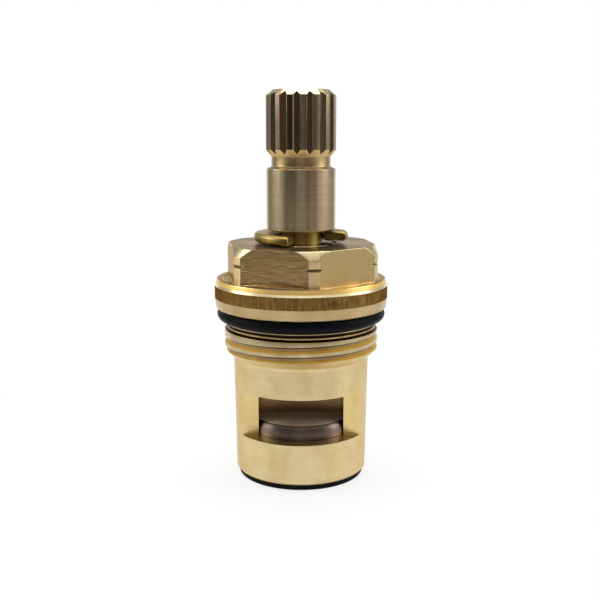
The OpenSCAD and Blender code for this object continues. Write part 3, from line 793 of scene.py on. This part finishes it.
def turnSpindle(s):
    grooves = []
    for ring in s["ringGrooves"]:
        low, high = ring - s["ringWidth"] / 2, ring + s["ringWidth"] / 2
        grooves += [(s["shaftRadius"], low, 0.08), (s["ringFloor"], low, 0.1), (s["ringFloor"], high, 0.1),
                    (s["shaftRadius"], high, 0.08)]
    cut = s["neckChamfer"]
    return lathe("spindleShaft", softOutline([
        (0, s["plate"]), (s["footRadius"], s["plate"], 0.1), (s["footRadius"], s["washer"], 0.12),
        (s["shaftRadius"], s["washer"], 0.1), *grooves, (s["shaftRadius"], s["neckFrom"] - cut, 0.08),
        (s["shaftRadius"] - cut, s["neckFrom"], 0.08), (s["neckRadius"], s["neckFrom"], 0.1),
        (s["neckRadius"], s["neckTo"], 0.1), (s["shaftRadius"] - cut, s["neckTo"], 0.08),
        (s["shaftRadius"], s["neckTo"] + cut, 0.1), (s["shaftRadius"], s["shaftTop"], 0.1),
        (s["reliefRadius"], s["reliefFrom"], 0.12), (s["reliefRadius"], s["reliefTo"], 0.15),
        (s["shaftRadius"], s["splineFrom"], 0.08), (s["shaftRadius"], s["splineTo"], 0.08),
        (s["endRadius"], s["end"], 0.1), (0, s["end"])]))


def makeSlot(s, far):
    # what is milled from the front of the foot, over a plate with a rounded edge
    roundIn, roundDown = s["plateRound"]
    rim = s["floor"] - roundDown
    quarter = [math.radians(90 - 90 * k / s["plateSteps"]) for k in range(s["plateSteps"] + 1)]
    edge = [(s["footRadius"] - roundIn * (1 - math.cos(a)), rim + roundDown * math.sin(a)) for a in quarter]
    slot = lathe("slot", [Vector(p) for p in (
        (0, s["floor"]), *edge, (far, rim), (far, s["collar"]), (0, s["collar"]))])
    front = block("frontHalf", (-far - 1, -far - 1, 0), (far + 1, s["slotBack"], s["collar"] + 1))
    carve(slot, front, "INTERSECT")
    return slot


def makeSpindle(s):
    shaft = turnSpindle(s)
    far, over = 2 * s["footRadius"], 0.5
    carve(shaft, makeSlot(s, far))
    notchFrom, notchTo, notchInner = s["notch"]
    carve(shaft, sector("notch", notchFrom, notchTo, notchInner, far, s["collar"] - over, s["washer"] + over))
    for side in (-1, 1):
        near, away = sorted((side * s["flats"], side * far))
        carve(shaft, block("flat", (near, -far, s["plate"] - 1), (away, far, s["floor"])))
    tangHalf, tangInner, tangOuter, tangLow = s["tang"]
    tangTop = s["plate"] + s["tangRoot"]
    for side in (-1, 1):
        near, away = sorted((side * tangInner, side * tangOuter))
        carve(shaft, block("tang", (-tangHalf, near, tangLow), (tangHalf, away, tangTop)), "UNION")
    runTree(shaft, splineTree(), dict(splineSize, Material=finishes["shaft"]))
    breakEdges(shaft, s["brokenEdge"])
    print("spindle cut:", len(shaft.data.polygons), "faces")
    return shaft


def spindleFinish(s, middle, normal):
    z, up = middle.z, normal.z
    onWall = abs(up) < steep
    if z > s["reliefTo"]:
        return "tooth" if onWall else "chamfer" if z > s["splineFrom"] + 1 else "plainFlat"
    # the foot below the washer: the dark web brass above the floor and the dark edge brass on the plate's edges,
    # both painted shade
    if z < s["washer"] + touch:
        return "web" if z > s["floor"] + touch else "foot" if up > flat else "edge"
    # the neck under the clip gets the darker clip brass as painted shade in the groove
    if s["neckFrom"] < z < s["neckTo"] and math.hypot(middle.x, middle.y) < s["neckRadius"] + wide:
        return "clip"
    return "skirt" if z > s["reliefFrom"] and onWall else "shaft"


spindleShaft = makeSpindle(spindle)
toMetres(spindleShaft)
paint(spindleShaft, ["shaft", "tooth", "foot", "chamfer", "web", "edge", "plainFlat", "clip", "skirt"],
      lambda middle, normal: spindleFinish(spindle, middle, normal))
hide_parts("spindle")
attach(spindleShaft, "spindle")
print("spindle done")


# Retaining clip: a stamped C with tumbled edges

# pinch and rise: where along the arc (0 to 1), how far it spreads, how much thinner; rise also how high
clip = dict(
    outer=7.3, inner=3.6, low=36.85, thick=1.7, opening=86, turn=27, rounding=0.6, cornerSteps=4, steps=72,
    endInset=[(0.0, 0.26), (0.06, 0.12), (0.14, 0.04), (0.26, 0.0)], endShare=0.004, flatten=0.88,
    pinch=(0.075, 0.035, 0.14), rise=(0.0, 0.16, 0.10, 0.36), lift=(0.12, 0.18), drop=0.08)


def clipHeight(c, t, y):
    pinchAt, pinchSpread, pinchThin = c["pinch"]
    riseAt, riseSpread, riseThin, riseHeight = c["rise"]
    liftAt, liftHeight = c["lift"]
    near = min(t, 1 - t)
    # the arms are pinched a little behind their ends
    pinch = math.exp(-((near - pinchAt) / pinchSpread) ** 2)
    lift = min(1, near / liftAt)
    # and one end stands off the hexagon
    rise = math.exp(-((t - riseAt) / riseSpread) ** 2)
    thickness = c["flatten"] - pinchThin * pinch - riseThin * rise
    return c["low"] + c["thick"] / 2 + y * thickness + liftHeight * lift - c["drop"] + riseHeight * rise


def makeClip(c):
    first = math.radians(c["opening"] / 2)
    span = 2 * math.pi - 2 * first
    wideness, tall, rounding = c["outer"] - c["inner"], c["thick"], c["rounding"]
    section = []
    for cornerX, cornerY, start in ((1, 1, 0), (-1, 1, 90), (-1, -1, 180), (1, -1, 270)):
        for k in range(c["cornerSteps"] + 1):
            a = math.radians(start + 90 * k / c["cornerSteps"])
            section.append((cornerX * (wideness / 2 - rounding) + rounding * math.cos(a),
                            cornerY * (tall / 2 - rounding) + rounding * math.sin(a)))
    count = len(section)
    # the section shrinks towards both ends
    stations = [("first", distance, inset) for distance, inset in c["endInset"]]
    stations += [("arm", k / c["steps"], 0.0) for k in range(1, c["steps"])]
    stations += [("last", distance, inset) for distance, inset in reversed(c["endInset"])]
    points, faces = [], []
    for part, along, inset in stations:
        for x, y in section:
            radius = (c["outer"] + c["inner"]) / 2 + x * (1 - 2 * inset / wideness)
            t = along / radius / span
            if part == "arm":
                t = c["endShare"] + (1 - 2 * c["endShare"]) * along
            elif part == "last":
                t = 1 - t
            turned = math.radians(c["turn"] - 90) + first + span * t
            height = clipHeight(c, t, y * (1 - 2 * inset / tall))
            points.append((radius * math.cos(turned), radius * math.sin(turned), height))
    rows = len(stations)
    for k in range(rows - 1):
        for i in range(count):
            j = (i + 1) % count
            faces.append((k * count + i, (k + 1) * count + i, (k + 1) * count + j, k * count + j))
    faces += [tuple(range(count)), tuple(range((rows - 1) * count, rows * count))]
    return meshFrom("clipRing", points, faces)


clipRing = makeClip(clip)
toMetres(clipRing, 50)
clipRing.data.materials.append(finishes["clip"])
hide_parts("retaining_clip")
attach(clipRing, "spindle")
print("clip done")


# Rubber ring under the flange, with its mould line

flangeRing = dict(middle=12.2, section=0.95, height=25.87, flash=0.03, flashHalf=5, slack=0.001, steps=48)


def makeRing(r):
    outline = []
    for k in range(r["steps"]):
        a = 2 * math.pi * k / r["steps"]
        swell = r["flash"] if math.degrees(min(a, 2 * math.pi - a)) < r["flashHalf"] else 0
        outline.append(Vector((r["middle"] + (r["section"] - r["flash"] + swell) * math.cos(a),
                               r["height"] + (r["section"] - r["slack"]) * math.sin(a))))
    return lathe("flangeRing", outline, closed=True)


flangeRingPiece = makeRing(flangeRing)
toMetres(flangeRingPiece, 60)
flangeRingPiece.data.materials.append(ringRubber)
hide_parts("flange_o_ring")
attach(flangeRingPiece, "housing")

# Solids that keep their shape and get a finish
for node, finish in (("upper_spindle_o_ring", ringRubber), ("lower_spindle_o_ring", ringRubber),
                     ("inlet_seal", inletRubber), ("moving_disc", discCeramic), ("fixed_disc", discCeramic),
                     ("thrust_washer", washerPlastic)):
    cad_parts[node].data.materials.clear()
    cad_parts[node].data.materials.append(finish)
print("rubber, ceramic and washer done")


# Studio: white floor, white backdrop, unlit room in front of the set

# room: level or colour by degrees, 0 towards the camera and positive to the right; lengths in metres
studio = dict(
    floorFront=-0.17, floorSide=0.13, floorBack=0.9, floorDrop=0.00002, floorWhite=0.8, paper=0.92,
    shadowReach=(0.012, 0.075), backdrop=1.0, backdropFrom=(138, 150), backdropHeight=(0.24, 0.14), overhead=1.1,
    overheadFrom=(0.7, 0.82), ambient=0.55, room=[(-180, 0.40), (-125, 0.32), (-66, 0.40), (-52, 0.08),
    (-40, 0.03), (-20, 0.03), (-10, 0.20), (12, 0.20), (18, (0.13, 0.035, 0.03)), (26, (0.13, 0.035, 0.03)),
    (32, 0.12), (50, 0.16), (62, 0.54), (125, 0.40), (180, 0.40)], lens=54.0, sensor=36.0, clip=(0.005, 10.0),
    cameraPlace=(-0.000155, -0.1395, 0.05302), cameraPitch=10.28)
softboxes = [dict(name="topSoftbox", place=(0, 0.10, 0.62), aim=(0, 0, 0.03), size=(0.5, 0.4), watts=2.6),
             dict(name="leftSoftbox", place=(-0.5, 0.0, 0.23), aim=(0, 0, 0.01), size=(0.3, 0.3), watts=0.8),
             dict(name="rightSoftbox", place=(0.5, 0.0, 0.23), aim=(0, 0, 0.01), size=(0.3, 0.3), watts=0.75)]


def rayIsSeen(tree):
    # camera rays, and the rays that show the backdrop in metal
    path = tree.nodes.new("ShaderNodeLightPath")
    seen = path.outputs["Is Camera Ray"]
    for label in ("Is Glossy Ray", "Is Transmission Ray"):
        seen = addMath(tree, "MAXIMUM", seen, path.outputs[label])
    return path, seen


def makeFloor(s):
    left, right, front, back = -s["floorSide"], s["floorSide"], s["floorFront"], s["floorBack"]
    corners = [(x, y, -s["floorDrop"]) for x, y in ((left, front), (right, front), (right, back), (left, back))]
    floor = meshFrom("floor", corners, [(0, 1, 2, 3)])
    material = bpy.data.materials.new("whiteFloor")
    material.use_nodes = True
    tree = material.node_tree
    tree.nodes.remove(tree.nodes["Principled BSDF"])
    paper = tree.nodes.new("ShaderNodeBsdfDiffuse")
    paper.inputs["Color"].default_value = (*(s["paper"],) * 3, 1)
    white = tree.nodes.new("ShaderNodeEmission")
    white.inputs["Strength"].default_value = s["backdrop"]
    where = tree.nodes.new("ShaderNodeTexCoord")
    away = addVector(tree, "LENGTH", where.outputs["Object"])
    # near the object the paper keeps more of its shadow
    whiter = addRange(tree, away, *s["shadowReach"], s["floorWhite"], 1.0)
    mix = tree.nodes.new("ShaderNodeMixShader")
    share = addMath(tree, "MULTIPLY", rayIsSeen(tree)[1], whiter)
    feed(tree, mix.inputs, (share, paper.outputs[0], white.outputs[0]))
    tree.links.new(mix.outputs[0], tree.nodes["Material Output"].inputs["Surface"])
    floor.data.materials.append(material)


def makeWorld(s):
    world = bpy.data.worlds.new("studioWorld")
    scene.world = world
    world.use_nodes = True
    tree = world.node_tree
    sky = tree.nodes["Background"]
    where = tree.nodes.new("ShaderNodeTexCoord")
    split = tree.nodes.new("ShaderNodeSeparateXYZ")
    tree.links.new(where.outputs["Generated"], split.inputs[0])
    front = addMath(tree, "MULTIPLY", split.outputs["Y"], -1.0)
    angle = addMath(tree, "ARCTAN2", split.outputs["X"], front)
    turn = addRange(tree, angle, -math.pi, math.pi, 0.0, 1.0)
    places, shades = zip(*s["room"])
    colours = [shade if isinstance(shade, tuple) else (shade,) * 3 for shade in shades]
    bands = addRamp(tree, turn, [(degrees + 180) / 360 for degrees in places], colours)
    # the white backdrop stands low behind the object, and the softbox begins overhead
    turned = addMath(tree, "ABSOLUTE", angle)
    behind = addRange(tree, turned, *map(math.radians, s["backdropFrom"]), 0.0, 1.0)
    low = addRange(tree, split.outputs["Z"], *s["backdropHeight"], 0.0, 1.0)
    paper = addMath(tree, "MULTIPLY", behind, low)
    walls = mixColours(tree, paper, bands, (s["backdrop"],) * 3)
    high = addRange(tree, split.outputs["Z"], *s["overheadFrom"], 0.0, 1.0)
    room = mixColours(tree, high, walls, (s["overhead"],) * 3)
    path, seen = rayIsSeen(tree)
    lit = mixColours(tree, seen, (s["ambient"],) * 3, room)
    shown = mixColours(tree, path.outputs["Is Camera Ray"], lit, (s["backdrop"],) * 3)
    tree.links.new(shown, sky.inputs["Color"])
    sky.inputs["Strength"].default_value = 1.0


def addSoftbox(box):
    data = bpy.data.lights.new(box["name"], "AREA")
    data.shape = "RECTANGLE"
    data.size, data.size_y = box["size"]
    data.energy = box["watts"]
    lamp = bpy.data.objects.new(box["name"], data)
    lamp.location = box["place"]
    ahead = Vector(box["aim"]) - Vector(box["place"])
    lamp.rotation_euler = ahead.to_track_quat("-Z", "Y").to_euler()
    scene.collection.objects.link(lamp)


makeFloor(studio)
makeWorld(studio)
for box in softboxes:
    addSoftbox(box)

cameraData = bpy.data.cameras.new("photoCamera")
cameraData.lens = studio["lens"]
cameraData.sensor_width = studio["sensor"]
cameraData.clip_start, cameraData.clip_end = studio["clip"]
camera = bpy.data.objects.new("photoCamera", cameraData)
camera.location = studio["cameraPlace"]
camera.rotation_euler = (math.radians(90 - studio["cameraPitch"]), 0, 0)
scene.collection.objects.link(camera)
scene.camera = camera
print("studio and camera set")
